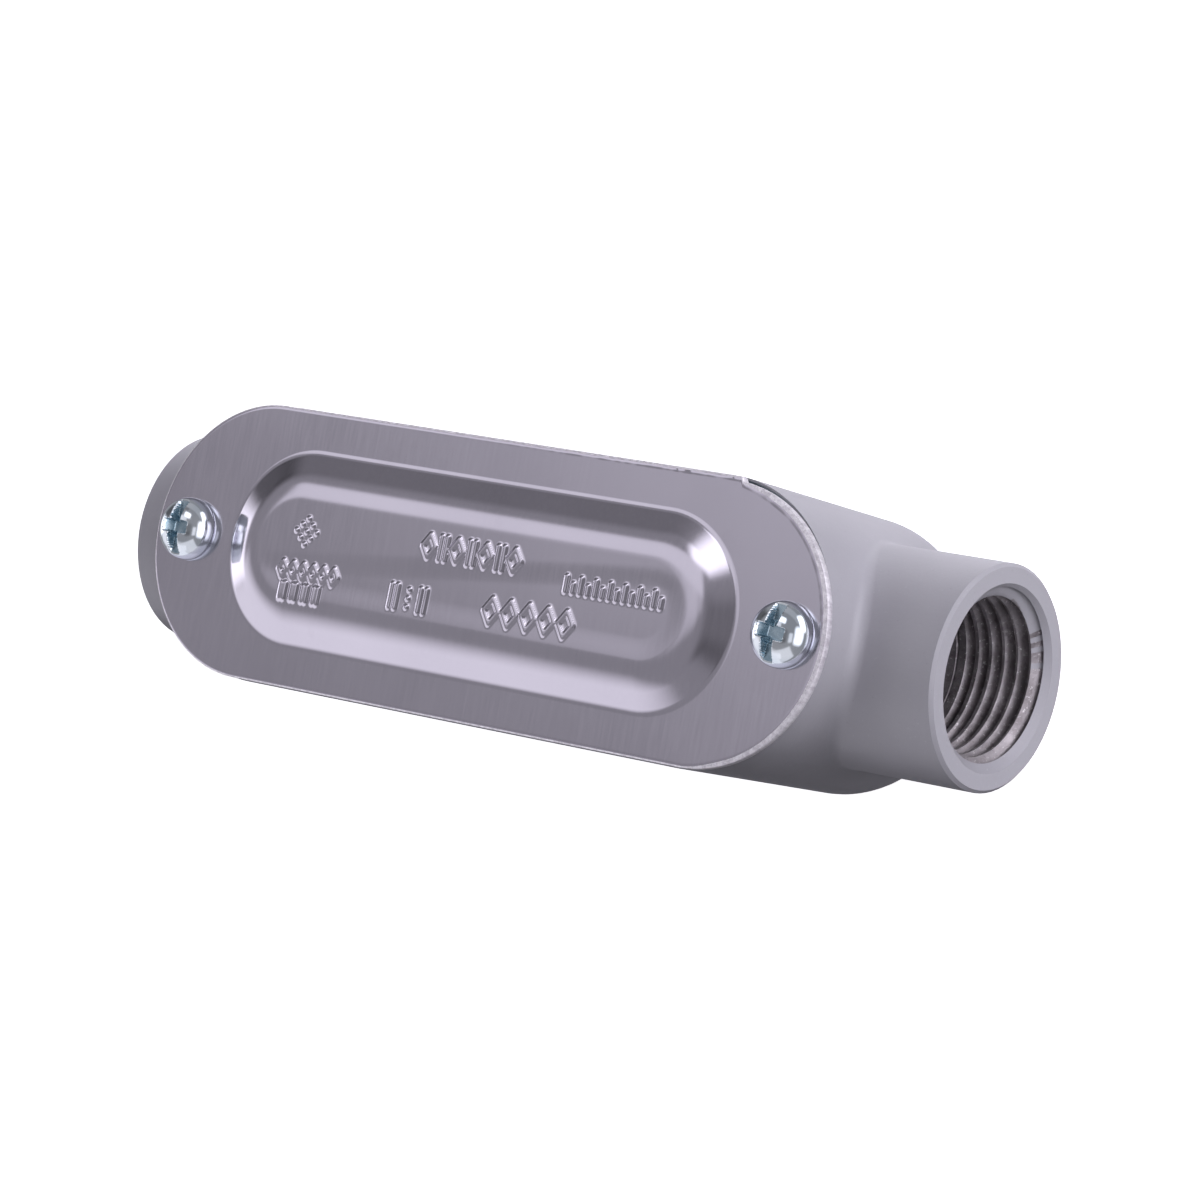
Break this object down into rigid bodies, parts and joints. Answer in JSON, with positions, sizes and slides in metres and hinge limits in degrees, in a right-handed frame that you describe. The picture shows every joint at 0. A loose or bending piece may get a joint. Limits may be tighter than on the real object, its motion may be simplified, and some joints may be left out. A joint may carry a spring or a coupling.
{
  "type": "conduit body",
  "caption": "Straight-through cast conduit body with a tapped hub at each end, a wiring cavity, and a gasketed drawn sheet cover held by screws.",
  "frame": {"origin": "under the middle of the flat back, on the face that the fitting rests on", "axes": "+X along the conduit towards the right hub, +Y across the cover, +Z out of the cover"},
  "size_m": [0.121, 0.0336, 0.0388],
  "materials": {
    "painted_casting": "satin grey enamel on cast aluminium",
    "cover_sheet": "bare rolled sheet, satin",
    "gasket_sheet": "dark matte",
    "screw_zinc": "bright blue-white zinc plate"
  },
  "bodies": {
    "housing": {"conduit_body": "painted_casting", "gasket": "gasket_sheet"},
    "cover": {"cover": "cover_sheet"},
    "screw_left": {"cover_screw_left": "screw_zinc"},
    "screw_right": {"cover_screw_right": "screw_zinc"}
  },
  "joints": [
    {"name": "cover_lift", "type": "slide", "parent": "housing", "child": "cover", "axis": [0, 0, 1], "range_m": [0, 0.03]},
    {"name": "screw_left_withdraw", "type": "slide", "parent": "cover", "child": "screw_left", "axis": [0, 0, 1], "range_m": [0, 0.0064]},
    {"name": "screw_right_withdraw", "type": "slide", "parent": "cover", "child": "screw_right", "axis": [0, 0, 1], "range_m": [0, 0.0064]}
  ]
}
